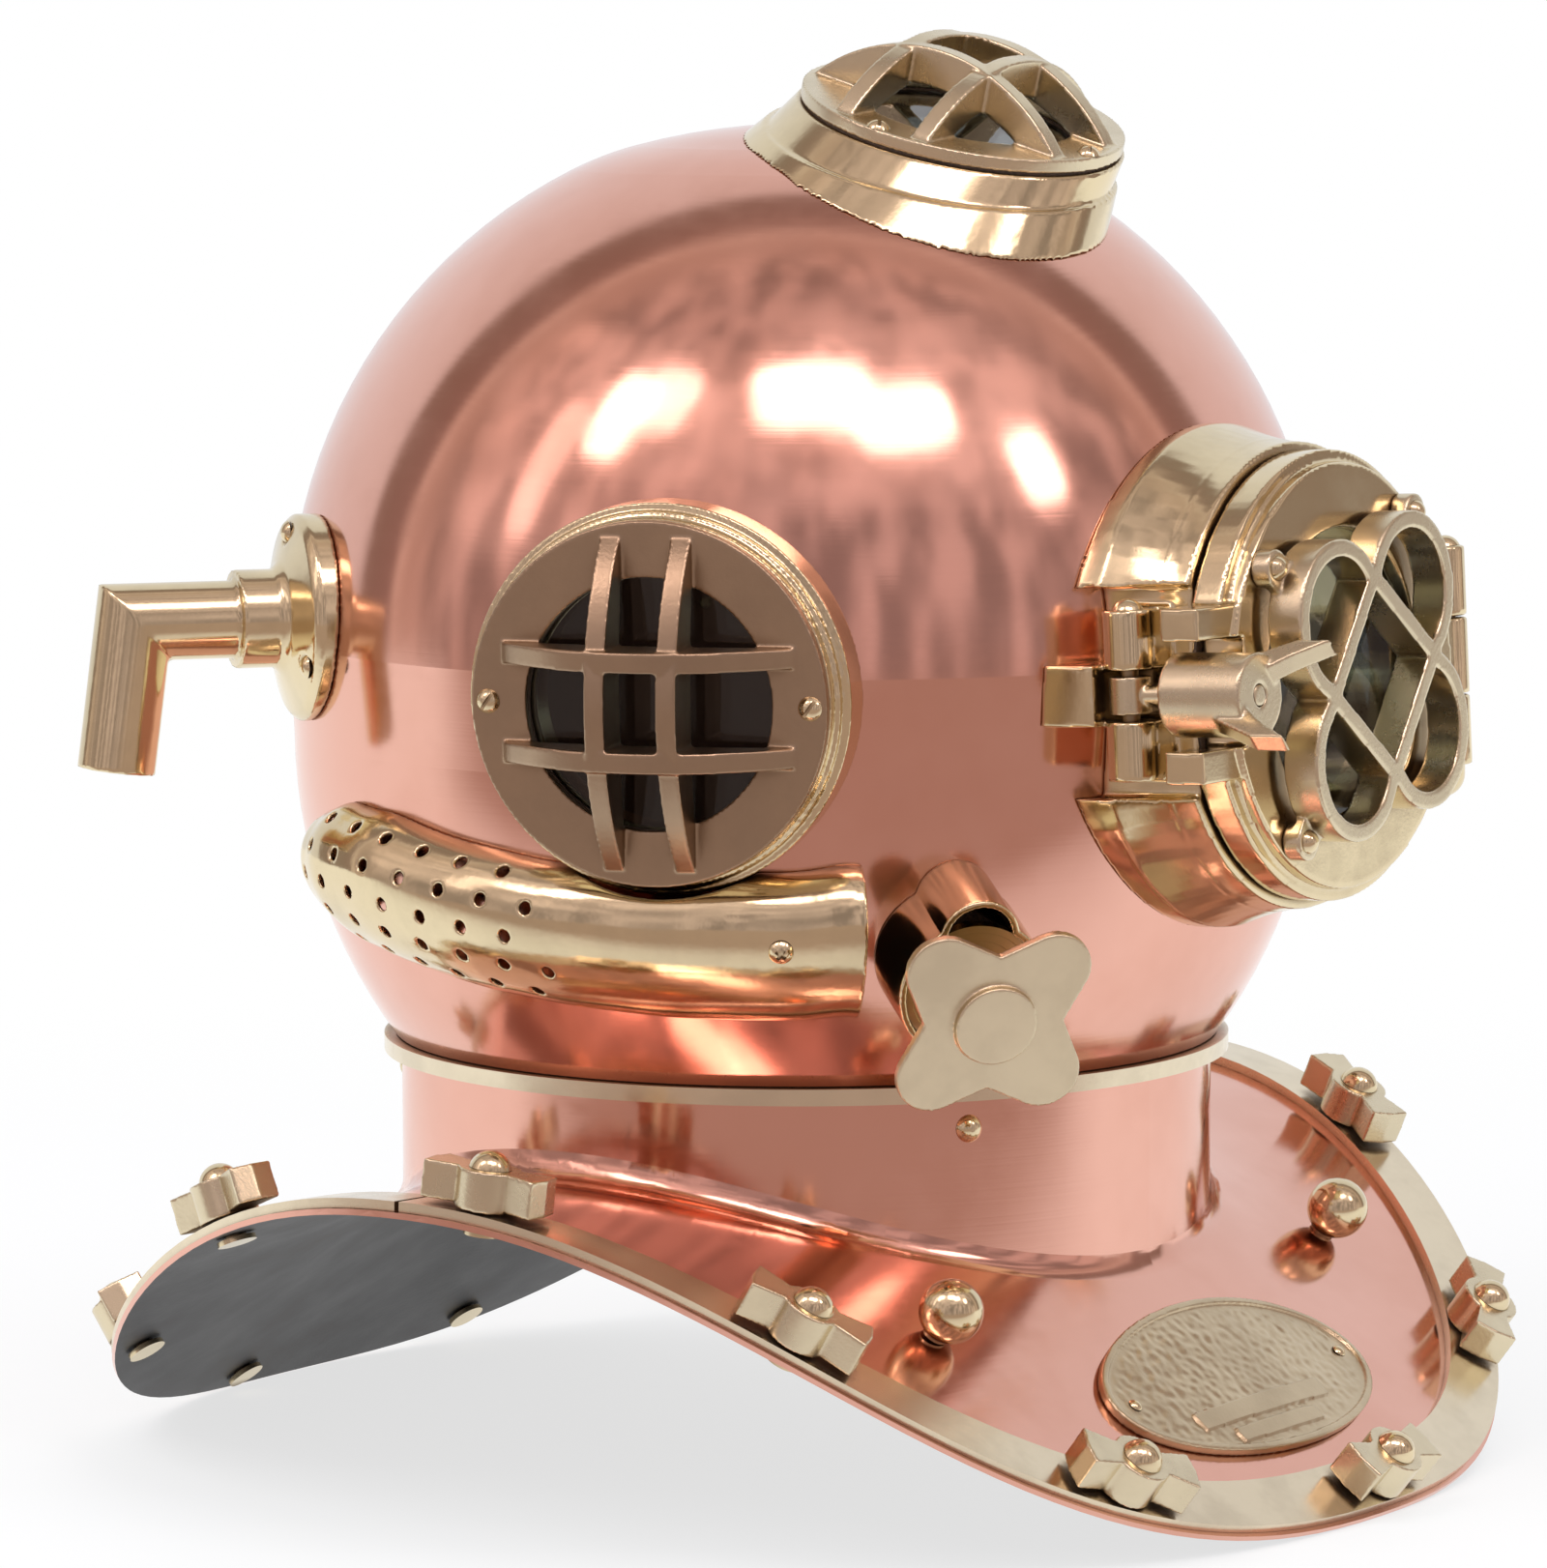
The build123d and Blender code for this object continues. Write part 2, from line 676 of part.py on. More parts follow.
bonnet = bonnet_outside - bonnet_inside
for spot in bonnet_screw_planes:
    bonnet -= spot * rivet_hole
port_screws = []
side_glass, side_gasket, side_back = port_parts(
    side_flange_radius, side_window_radius, side_flange_thickness)
side_screws = guard_screw_spots(side_flange_radius - 2 * side_frame_step, side_screw_azimuths)
side_guard = drum(side_flange_radius, -side_flange_thickness, 0) + guard_bars(
    side_window_radius, side_bar_room, side_bar_height,
    (90, side_bar_offset_x, side_upright_reach), (0, side_bar_offset_y, side_level_reach))
side_guard -= drum(side_window_radius, -overrun, 0)
side_step = side_back - side_step_depth
side_spigot = side_window_radius + port_spigot_wall
side_spigot_end = crown_radius - side_distance - bonnet_wall - port_spigot_depth
side_steps = ((side_flange_radius, side_step - side_frame_step, side_back),
              (side_frame_radius - side_frame_step, -side_distance / 2, side_step),
              (side_frame_radius, -side_distance / 2, side_step - side_frame_step))
for side, spot in zip(("right", "left"), side_planes):
    frame = port_frame(spot, side_steps, side_window_radius, side_back, side_spigot, side_spigot_end)
    guard, gasket = side_guard, side_gasket
    for screw in side_screws:
        guard -= screw * screw_hole
        gasket -= screw * screw_hole
        frame -= spot * screw * drum(guard_screw_shank + hole_clearance, -screw_depth - face_gap, overrun)
        port_screws.append(spot * screw * port_screw_blank)
    save(f"{side}_port_frame", frame)
    save(f"{side}_port_gasket", spot * gasket)
    save(f"{side}_port_glass", spot * side_glass)
    save(f"{side}_port_guard", spot * guard)
    bonnet -= spot * drum(side_spigot + fit_clearance, side_spigot_end, overrun)

# Top port: its frame widens with depth and leans back and to the diver's right, with a ledge round
# it, and its guard's bars run along and across the helmet
top_glass, top_gasket, top_back = port_parts(top_flange_radius, top_window_radius, top_flange_thickness)
top_spigot = top_window_radius + port_spigot_wall
top_spigot_end = -top_frame_depth - bonnet_wall - port_spigot_depth


def top_circle(depth, step=0.0):
    """The outline of the top frame at a depth, smaller by step."""
    share = (depth + top_back) / (top_foot_depth + top_back)
    radius = top_frame_radius + (top_foot_radius - top_frame_radius) * share - step
    middle = Vector(*top_foot_shift) * share
    return (top_plane * Pos(middle.X, middle.Y, -depth) * Circle(radius)).wire()


top_wall = Solid.make_loft([top_circle(-top_back), top_circle(top_ledge_depth, top_ledge_step)], ruled=True)
top_wall += Solid.make_loft([top_circle(top_ledge_depth), top_circle(top_foot_depth)], ruled=True)
top_frame = top_wall - bonnet_solid(-seat_gap)
top_frame += top_plane * drum(top_spigot, top_spigot_end, top_back)
top_frame -= top_plane * drum(top_window_radius + glass_overlap + fit_clearance,
                              top_back - glass_thickness - seat_gap, overrun)
top_frame -= top_plane * drum(top_window_radius, top_spigot_end - overrun, overrun)
top_guard = drum(top_flange_radius, -top_flange_thickness, 0) + guard_bars(
    top_window_radius, top_bar_room, top_bar_height,
    (90 + top_azimuth, top_bar_offset, top_bar_reach), (top_azimuth, top_bar_offset, top_bar_reach))
top_guard -= drum(top_window_radius, -overrun, 0)
top_screws = [top_azimuth + azimuth for azimuth in top_screw_azimuths]
for screw in guard_screw_spots(top_flange_radius - 1.5 * side_frame_step, top_screws):
    top_guard -= screw * screw_hole
    top_gasket -= screw * screw_hole
    top_frame -= top_plane * screw * drum(
        guard_screw_shank + hole_clearance, -screw_depth - face_gap, overrun)
    port_screws.append(top_plane * screw * port_screw_blank)
save("top_port_frame", top_frame)
save("top_port_gasket", top_plane * top_gasket)
save("top_port_glass", top_plane * top_glass)
save("top_port_guard", top_plane * top_guard)
save("port_guard_screws", *port_screws)
bonnet -= top_plane * drum(top_spigot + fit_clearance, -2 * top_frame_depth, overrun)


# Front port frame, with hinge knuckles on the diver's left and clamp lugs on the right

lip = -front_lip_depth
front_wall = turned((0, lip), (front_lip_radius, lip), (front_lip_radius, lip - front_flare_depth / 3),
                    (front_base_radius, lip - front_flare_depth), (front_base_radius, -front_distance / 2),
                    (0, -front_distance / 2))
front_wall -= block(-2 * front_base_radius, -frame_flat, -pocket_half_height, pocket_half_height,
                    -front_distance, 0)
pin_top = hinge_door_half_height + hinge_frame_height
front_wall += block(-clamp_web_reach, -frame_flat + seat_gap, -clamp_web_height / 2, clamp_web_height / 2,
                    -front_distance / 2, -clamp_web_depth)
for side in (1, -1):
    inner, outer = sorted((side * clamp_lug_inner, side * clamp_lug_outer))
    front_wall += upright(clamp_lug_radius, -clamp_offset, -clamp_pin_depth, inner, outer)
    front_wall += block(-clamp_offset, -frame_flat + seat_gap, inner, outer,
                        -clamp_pin_depth - clamp_lug_radius, -clamp_pin_depth + clamp_lug_radius)
    inner, outer = sorted((side * (hinge_door_half_height + hinge_gap), side * pin_top))
    front_wall += upright(hinge_radius, hinge_offset, -hinge_depth, inner, outer)
    front_wall += block(front_bore_radius + hinge_radius, hinge_offset + hinge_radius, inner, outer,
                        -hinge_depth - 3 * hinge_radius, lip)
    front_wall += block(hinge_offset - hinge_radius, hinge_offset + hinge_radius, inner, outer,
                        lip - seat_gap, -hinge_depth)
front_spigot = front_bore_radius + port_spigot_wall
front_spigot_end = -front_distance + crown_radius - bonnet_wall - front_spigot_depth - front_flare_depth
front_frame = front_plane * front_wall - bonnet_solid(-seat_gap)
front_frame += front_plane * drum(front_spigot, front_spigot_end, lip - front_flare_depth)
front_frame -= front_plane * drum(front_bore_radius, -front_distance, overrun)
groove_outer = face_back_radius - glass_overlap
groove_inner = front_bore_radius + glass_overlap / 3
groove_floor = lip - port_gasket_thickness
front_frame -= front_plane * pipe(groove_outer, groove_inner, groove_floor, overrun)
front_gasket = pipe(groove_outer - seat_gap, groove_inner + seat_gap, groove_floor + seat_gap, lip + face_gap)
hinge_hole = upright(hinge_pin_radius + running_clearance, hinge_offset, -hinge_depth,
                     -pin_top - overrun, pin_top + overrun)
clamp_hole = upright(clamp_pin_radius + running_clearance, -clamp_offset, -clamp_pin_depth,
                     -clamp_lug_outer - overrun / 8, clamp_lug_outer + overrun / 8)
front_frame -= front_plane * (hinge_hole + clamp_hole)
save("front_port_frame", front_frame)
save("front_port_gasket", front_plane * front_gasket)
bonnet -= front_plane * drum(front_spigot + fit_clearance, -front_distance, 0)


def headed_pin(radius, head, x, z, reach):
    """An upright pin with a domed head above its lugs."""
    cap = Pos(x, reach + seat_gap, z) * Rot(-90, 0, 0) * dome_cap(head, head * 2 / 3)
    return upright(radius, x, z, -reach, reach + seat_gap * 2) + cap


save("faceplate_hinge_pin", front_plane * headed_pin(
    hinge_pin_radius, hinge_pin_head, hinge_offset, -hinge_depth, pin_top))
save("swing_bolt_pin", front_plane * headed_pin(
    clamp_pin_radius, clamp_pin_head, -clamp_offset, -clamp_pin_depth, clamp_lug_outer))

# Faceplate: a ring with a hinge knuckle and a fork for the swing bolt
face_back = -face_thickness
face_ring = drum(face_radius, face_back, 0) + drum(face_back_radius, face_back, -face_step_depth)
face_ring -= block(-2 * face_radius, -face_flat, -prong_inner, prong_inner, face_back - overrun, overrun)
for side in (1, -1):
    inner, outer = sorted((side * prong_inner, side * prong_outer))
    face_ring += block(-prong_reach, -face_flat, inner, outer, face_back, prong_front - face_step_depth)
knuckle = hinge_door_half_height
face_ring += upright(hinge_radius, hinge_offset, -hinge_depth, -knuckle, knuckle)
face_ring += block(face_flat, hinge_offset, -knuckle, knuckle, face_back, -face_step_depth)
face_ring -= hinge_hole
glass_seat = face_window_radius + glass_overlap + fit_clearance
face_ring -= drum(face_window_radius, face_back - overrun, overrun)
face_ring -= drum(glass_seat, face_back - overrun, face_back + glass_thickness + port_gasket_thickness)
save("faceplate_ring", front_plane * face_ring)
save("faceplate_glass", front_plane * drum(
    face_window_radius + glass_overlap, face_back + port_gasket_thickness,
    face_back + port_gasket_thickness + glass_thickness - seat_gap))


def lobed_guard():
    """Four lobes with crossed bars between them, and a screwed ear at the tip of each lobe."""
    start, end = lobe_guard_lift, lobe_guard_lift + lobe_guard_depth
    inside = lattice_offset - lattice_width / 2
    outside = lattice_offset + lattice_width / 2
    lobes, rooms = None, None
    for i in range(4):
        turn = Rot(0, 0, 90 * i)
        lobe = turn * Pos(lobe_distance, 0, 0) * drum(lobe_radius, start, end)
        room = turn * (Pos(lobe_distance, 0, 0) * drum(lobe_radius - lobe_wall, start - overrun, end)
                       - block(-lobe_radius, outside, -lobe_radius, lobe_radius, start - overrun, end))
        lobes = lobe if lobes is None else lobes + lobe
        rooms = room if rooms is None else rooms + room
    body = lobes + block(-outside, outside, -outside, outside, start, end)
    body = body - rooms - block(-inside, inside, -inside, inside, start - overrun, end)
    for i in range(4):
        ear = Pos(ear_distance, 0, 0) * drum(ear_radius, seat_gap, ear_height)
        arm = block(lobe_distance + lobe_radius - lobe_wall, ear_distance, -ear_radius, ear_radius,
                    start, ear_height)
        body += Rot(0, 0, 90 * i) * (ear + arm)
    for i in range(4):
        body -= Rot(0, 0, 90 * i) * Pos(ear_distance, 0, 0) * screw_hole
    return body


guard_plane = front_plane * Rot(0, 0, 45 + guard_turn)
save("faceplate_guard", guard_plane * lobed_guard())
ear_screw = Pos(0, 0, ear_height + seat_gap) * domed_screw(
    guard_screw_radius, guard_screw_radius * 3 / 4, guard_screw_shank, ear_height - seat_gap)
save("faceplate_guard_screws", *[
    guard_plane * Rot(0, 0, 90 * i) * Pos(ear_distance, 0, 0) * ear_screw for i in range(4)])

# Clamp: a swing bolt on its pin, and a barrel nut with two wings
bolt_plane = Pos(-clamp_offset, 0, 0)
swing_bolt = (upright(bolt_eye_radius, 0, -clamp_pin_depth, -bolt_eye_height / 2, bolt_eye_height / 2)
              + drum(bolt_radius, -clamp_pin_depth, bolt_end)
              - upright(clamp_pin_radius + running_clearance, 0, -clamp_pin_depth, -overrun, overrun))
save("swing_bolt", front_plane * bolt_plane * swing_bolt)
wing_base = clamp_nut_end - clamp_wing_root * 2
wings = make_face(Polyline(
    (0, wing_base), (clamp_nut_radius, wing_base), (clamp_wing_radius, clamp_nut_end + clamp_wing_reach / 3),
    (clamp_wing_radius, clamp_nut_end + clamp_wing_reach),
    (clamp_nut_radius, clamp_nut_end + clamp_wing_reach / 3),
    (clamp_nut_radius - clamp_wing_root, clamp_nut_end), (0, clamp_nut_end), close=True))
wing = Pos(0, clamp_wing_thickness / 2, 0) * extrude(Plane.XZ * wings, clamp_wing_thickness)
clamp_nut = drum(clamp_nut_radius, clamp_nut_start, clamp_nut_end) + wing + Rot(0, 0, 180) * wing
clamp_nut -= drum(bolt_radius + running_clearance, clamp_nut_start - overrun, clamp_nut_end + overrun)
save("clamp_wing_nut", front_plane * bolt_plane * Rot(0, 0, clamp_wing_roll) * clamp_nut)


# Exhaust valve: a cup with a lobe above it, a bridged spindle and a lobed handwheel

lower_centre = Vector(0, 0, lower_height)
valve_seat = lower_centre + outward(valve_azimuth, valve_rise) * lower_radius
valve_plane = facing(valve_seat, valve_azimuth, valve_rise)


def keyhole(shrink, start, end):
    lobe = Pos(0, valve_lobe_offset, 0) * drum(valve_lobe_radius - shrink, start, end)
    return drum(valve_radius - shrink, start, end) + lobe


cup_root = -valve_height / 2
valve_body = keyhole(0, cup_root, valve_height) - keyhole(valve_wall, valve_floor, valve_height + overrun)
valve_body = valve_plane * valve_body - bonnet_solid(-seat_gap)
valve_spigot = valve_port_radius + 2 * valve_wall
valve_body += valve_plane * drum(valve_spigot, -2 * valve_floor, valve_floor)
valve_body -= valve_plane * drum(valve_port_radius, -valve_height, valve_floor + valve_wall)
bridge_half = valve_radius - valve_wall / 2
bridge = block(-bridge_half, bridge_half, -bridge_width / 2, bridge_width / 2,
               bridge_start, bridge_start + bridge_thickness)
bridge += drum(spindle_radius + bridge_width / 3, bridge_start, bridge_start + bridge_thickness)
valve_body += valve_plane * bridge
valve_body -= valve_plane * drum(
    spindle_radius + running_clearance, bridge_start - bridge_thickness, overrun * 2)
save("exhaust_valve_body", valve_body)
disc_top = valve_floor + seat_gap + disc_thickness
save("exhaust_valve_disc", valve_plane * drum(disc_radius, valve_floor + seat_gap, disc_top))
spring_start = disc_top + spring_wire + seat_gap
spring_rise = bridge_start - spring_wire - seat_gap - spring_start
spring_path = Pos(0, 0, spring_start) * Helix(
    pitch=spring_rise / spring_turns, height=spring_rise, radius=spring_radius)
spring_section = Plane(origin=spring_path @ 0, z_dir=spring_path % 0) * Circle(spring_wire)
save("exhaust_valve_spring", valve_plane * sweep(spring_section, path=spring_path))
bonnet -= valve_plane * drum(valve_spigot + fit_clearance, -valve_height, overrun)

wheel_end = wheel_start + wheel_thickness
wheel = drum(wheel_boss_radius, wheel_start, wheel_end + wheel_boss_height)
half_lobe = radians(180 / wheel_count)
notch = wheel_notch_radius * cos(half_lobe), wheel_notch_radius * sin(half_lobe)
lobe_end = Pos(wheel_lobe_distance, 0) * Circle(wheel_lobe_radius)
lobe_root = Polyline(notch, (0, 0), (notch[0], -notch[1]))
lobe = Pos(0, 0, wheel_start) * extrude(make_hull([*lobe_end.edges(), *lobe_root.edges()]), wheel_thickness)
for i in range(wheel_count):
    wheel += Rot(0, 0, 360 * (i + 0.5) / wheel_count) * lobe
wheel += drum(spindle_radius, disc_top + face_gap, wheel_end)
save("exhaust_handwheel", valve_plane * wheel)


# Exhaust channel: sections at several azimuths, thin copies inside, holes towards the back

def channel_section(azimuth, size, rise, shrink):
    """A half ellipse that bulges off the bonnet, closed inside the bonnet's wall."""
    middle = channel_height + channel_rear_rise * rise
    tall = channel_half_height * size - shrink
    bulge = channel_bulge * size - shrink
    points = []
    for i in range(channel_section_points):
        turn = pi * (i / (channel_section_points - 1) - 0.5)
        height = middle + tall * sin(turn)
        foot = sqrt(lower_radius ** 2 - (lower_height - height) ** 2) - bonnet_wall
        points.append(outward(azimuth) * (foot + (bulge + bonnet_wall) * cos(turn)) + Vector(0, 0, height))
    return Wire([Spline(*points), Line(points[-1], points[0])])


stations = list(zip(channel_azimuths, channel_size_shares, channel_rise_shares))
sections = [stations[0]]
for before, after in zip(stations, stations[1:]):
    sections += [tuple((low + high) / 2 for low, high in zip(before, after)), after]
channel = Solid.make_loft([channel_section(a, size, rise, 0) for a, size, rise in sections])
channel -= Solid.make_loft([channel_section(a, size, rise, channel_wall) for a, size, rise in sections[:-2]])
channel -= bonnet_solid(-seat_gap)
channel -= side_planes[0] * drum(side_frame_radius + face_gap, -side_distance / 2, overrun)


def channel_height_at(azimuth):
    """The height of the channel's middle line at an azimuth, between two sections."""
    pairs = [(a, channel_height + channel_rear_rise * rise) for a, _, rise in sections]
    for (a, low), (b, high) in zip(pairs, pairs[1:]):
        if a <= azimuth <= b:
            return low + (high - low) * (azimuth - a) / (b - a)
    return pairs[-1][1]


holes = []
for share, first in channel_hole_rows:
    for i in range(channel_hole_columns):
        azimuth = first + channel_hole_pitch * i
        height = channel_height_at(azimuth) + channel_half_height * share
        foot = sqrt(lower_radius ** 2 - (lower_height - height) ** 2)
        lean = degrees(asin(share))
        spot = facing(outward(azimuth) * foot + Vector(0, 0, height), azimuth, lean / 2)
        holes.append(spot * drum(channel_hole_radius, channel_wall, channel_bulge * 2))
for hole in holes:
    channel -= hole

channel_screw = Pos(0, 0, face_gap) * slotted(
    domed_screw(guard_screw_radius, guard_screw_height, guard_screw_shank, channel_wall),
    guard_screw_radius / 2, guard_screw_height, guard_screw_turn, guard_screw_turn + 90)
front_foot = sqrt(lower_radius ** 2 - (lower_height - channel_height) ** 2)
channel_screw_reach = front_foot + channel_bulge * channel_screw_share
channel_screw_place = outward(channel_screw_azimuth) * channel_screw_reach + Vector(0, 0, channel_height)
channel_screw_tilt = -degrees(asin((lower_height - channel_height) / lower_radius))
channel_screw_spot = facing(channel_screw_place, channel_screw_azimuth, channel_screw_tilt)
channel -= channel_screw_spot * screw_hole
fitting_screws = [channel_screw_spot * channel_screw]
save("exhaust_channel", channel)


# Back elbows: a domed flange, a stepped collar and a mitred tube with a socket in its end

flange_profile = ((0, 0), (elbow_flange_radius, 0), (elbow_flange_radius, elbow_flange_edge),
                  (elbow_flange_radius - elbow_flange_edge, elbow_flange_edge * 2),
                  (elbow_collar_radius + elbow_flange_edge, elbow_flange_height),
                  (elbow_collar_radius, elbow_flange_height + elbow_flange_edge),
                  (elbow_collar_radius, elbow_collar_height), (0, elbow_collar_height))
elbow_foot = asin((elbow_height - crown_height) / crown_radius)
corner = (0, 0, elbow_reach)
leg = Vector(0, -elbow_drop, elbow_drop * tan(radians(elbow_slant)))
flange_root = elbow_flange_radius ** 2 / crown_radius
elbow_blank = turned(*flange_profile) + drum(elbow_flange_radius, -flange_root, 0)


def elbow_tube(radius, start, drop):
    """A tube along z that turns down at a mitre."""
    path = Polyline((0, 0, start), corner, Vector(*corner) + leg * drop)
    return sweep(Pos(0, 0, start) * Circle(radius), path=path, transition=Transition.RIGHT)


elbow_blank += elbow_tube(elbow_tube_radius, elbow_collar_height - elbow_flange_height, 1)
elbow_bore = elbow_tube(elbow_bore_radius, -crown_radius / 4, 1 + running_clearance)
elbow_end = Plane(origin=Vector(*corner) + leg, z_dir=leg)
elbow_bore += elbow_end * drum(elbow_socket_radius, -elbow_socket_depth, overrun)
elbow_screw = domed_screw(guard_screw_radius, guard_screw_height, guard_screw_shank, elbow_flange_height)
for node, azimuth in (("air_elbow", elbow_azimuth), ("telephone_elbow", -elbow_azimuth)):
    spot = facing(Vector(0, 0, crown_height) + outward(azimuth, degrees(elbow_foot)) * crown_radius, azimuth)
    elbow = spot * elbow_blank - bonnet_solid(-seat_gap)
    elbow += spot * pipe(elbow_tube_radius, elbow_bore_radius, -2 * elbow_flange_height, elbow_flange_edge)
    elbow -= spot * elbow_bore
    bonnet -= spot * drum(elbow_tube_radius + fit_clearance, -crown_radius / 4, elbow_flange_height)
    for i in range(elbow_screw_count):
        turn = radians(90 + 360 * i / elbow_screw_count)
        place = spot * Pos(elbow_screw_circle * cos(turn), elbow_screw_circle * sin(turn), elbow_screw_lift)
        elbow -= place * (screw_hole + drum(guard_screw_radius + hole_clearance, 0, overrun))
        bonnet -= place * screw_hole
        fitting_screws.append(place * elbow_screw)
    save(node, elbow)
save("fitting_screws", *fitting_screws)


# Spitcock: a tube from the bonnet to a plug barrel, and a lever that turns in it

cock_barrel_half = cock_barrel_height / 2
cock_foot = asin((cock_height - lower_height) / lower_radius)
cock_plane = facing(
    outward(cock_azimuth) * lower_radius * cos(cock_foot) + Vector(0, 0, cock_height), cock_azimuth)
cock = drum(cock_foot_radius, -cock_foot_thickness, cock_foot_thickness) + drum(
    cock_tube_radius, 0, cock_reach - cock_barrel_radius / 2)
cock = cock_plane * cock - bonnet_solid(-seat_gap)
cock += cock_plane * upright(cock_barrel_radius, 0, cock_reach, -cock_barrel_half, cock_barrel_half)
cock += cock_plane * Pos(0, -cock_barrel_half, cock_reach) * Sphere(cock_barrel_radius)
cock += cock_plane * drum(cock_tube_radius, -2 * cock_foot_thickness, cock_foot_thickness)
cock -= cock_plane * upright(cock_bore_radius, 0, cock_reach, -cock_barrel_half, cock_barrel_half + overrun)
save("spitcock_body", cock)
bonnet -= cock_plane * drum(cock_tube_radius + fit_clearance, -overrun / 2, overrun / 2)
lever_height = cock_barrel_half + lever_stem_height
lever_radius = cock_bore_radius - running_clearance
lever = upright(lever_radius, 0, cock_reach, face_gap - cock_barrel_half, lever_height)
lever += Pos(0, lever_height, cock_reach) * Sphere(lever_ball_radius)
lever += Pos(0, lever_height, cock_reach) * Rot(0, 90, 0) * Cylinder(
    lever_arm_radius, lever_arm, align=(Align.CENTER, Align.CENTER, Align.MIN))
save("spitcock_lever", cock_plane * lever)

save("bonnet", bonnet)
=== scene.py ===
import json
from math import cos, radians, sin

import bmesh
import bpy
from mathutils import Matrix, Vector, noise

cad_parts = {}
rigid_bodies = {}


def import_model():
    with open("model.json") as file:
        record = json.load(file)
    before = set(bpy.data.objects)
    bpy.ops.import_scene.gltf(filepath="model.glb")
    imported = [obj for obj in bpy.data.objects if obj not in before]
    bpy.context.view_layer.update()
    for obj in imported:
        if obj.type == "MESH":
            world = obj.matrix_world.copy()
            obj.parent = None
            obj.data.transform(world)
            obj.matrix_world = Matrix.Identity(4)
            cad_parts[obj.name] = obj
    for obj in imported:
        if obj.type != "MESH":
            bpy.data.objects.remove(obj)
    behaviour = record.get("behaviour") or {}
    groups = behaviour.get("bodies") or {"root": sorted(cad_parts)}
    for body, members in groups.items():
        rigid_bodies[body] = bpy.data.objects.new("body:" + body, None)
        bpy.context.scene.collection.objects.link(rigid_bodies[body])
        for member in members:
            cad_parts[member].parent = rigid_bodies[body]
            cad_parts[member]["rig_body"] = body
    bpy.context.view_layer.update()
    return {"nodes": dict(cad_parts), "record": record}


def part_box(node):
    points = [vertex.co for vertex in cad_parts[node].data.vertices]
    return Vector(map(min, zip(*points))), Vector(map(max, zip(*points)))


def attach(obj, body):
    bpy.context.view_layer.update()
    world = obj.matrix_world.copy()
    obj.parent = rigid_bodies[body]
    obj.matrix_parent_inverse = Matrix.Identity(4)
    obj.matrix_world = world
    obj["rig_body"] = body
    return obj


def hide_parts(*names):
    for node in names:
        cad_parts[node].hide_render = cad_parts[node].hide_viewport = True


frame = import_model()
scene = bpy.context.scene
scene.view_settings.view_transform = "Standard"


# Breastplate: raised from one sheet of copper and satin polished by hand, from the neck down
# over the shoulders. Its underside is painted with a black lining that is scuffed a little brown.
class Wire:
    """One socket of a material's nodes, so that sums and products of sockets read as Python."""

    def __init__(self, tree, socket=None):
        self.tree, self.socket = tree, socket

    def add(self, kind, settings=None, sockets=None, output=0):
        """Any other node, from its type, its settings and the values or wires of its sockets."""
        node = self.tree.nodes.new("ShaderNode" + kind)
        for name, value in (settings or {}).items():
            if name == "stops":
                stops = node.color_ramp.elements
                while len(stops) < len(value):
                    stops.new(1)
                for stop, (place, colour) in zip(stops, value):
                    stop.position, stop.color = place, (*colour, 1)
            else:
                setattr(node, name, value)
        for name, value in (sockets or {}).items():
            if isinstance(value, Wire):
                self.tree.links.new(value.socket, node.inputs[name])
            else:
                node.inputs[name].default_value = value
        return Wire(self.tree, node.outputs[output])

    def maths(self, operation, *values):
        return self.add("Math", {"operation": operation}, dict(enumerate(values)))

    def __add__(self, other):
        return self.maths("ADD", self, other)

    def __mul__(self, other):
        return self.maths("MULTIPLY", self, other)

    def __sub__(self, other):
        return self.maths("SUBTRACT", self, other)

    def __rsub__(self, other):
        return self.maths("SUBTRACT", other, self)

    __radd__, __rmul__ = __add__, __mul__

    def between(self, low, high):
        """0 where the wire is under low, 1 where it is over high."""
        return self.add("MapRange", {"interpolation_type": "SMOOTHSTEP"},
                        {"Value": self, "From Min": low, "From Max": high})

    def mix(self, low, high):
        """A colour between low and high, with this wire as the share of high."""
        return self.add("Mix", {"data_type": "RGBA"}, {0: self, 6: low, 7: high}, output=2)

    def dot(self, direction):
        return self.add("VectorMath", {"operation": "DOT_PRODUCT"}, {0: self, 1: direction}, output=1)

    def stretched(self, shares):
        """This place with each of its directions multiplied by a share."""
        return self.add("VectorMath", {"operation": "MULTIPLY"}, {0: self, 1: shares})

    def noise(self, size, detail=3.0, rough=0.6):
        """Cloudy noise at this place, with lumps of about the given size in metres."""
        return self.add("TexNoise", sockets={"Vector": self, "Scale": 1 / size, "Detail": detail,
                                             "Roughness": rough})

    def bump(self, shader, depth, strength=1.0):
        """Raise the surface of a shader by this wire, up to the given depth in metres."""
        relief = self.add("Bump", sockets={"Height": self, "Distance": depth, "Strength": strength})
        relief.feed(shader, "Normal")

    def feed(self, shader, name):
        self.tree.links.new(self.socket, shader.inputs[name])


def new_finish(name, **settings):
    """A material, its shader, and a wire with the place on the object in metres."""
    material = bpy.data.materials.new(name)
    material.use_nodes = True
    shader = material.node_tree.nodes["Principled BSDF"]
    for socket, value in settings.items():
        shader.inputs[socket.replace("_", " ")].default_value = value
    return material, shader, Wire(material.node_tree).add("TexCoord", output=3)


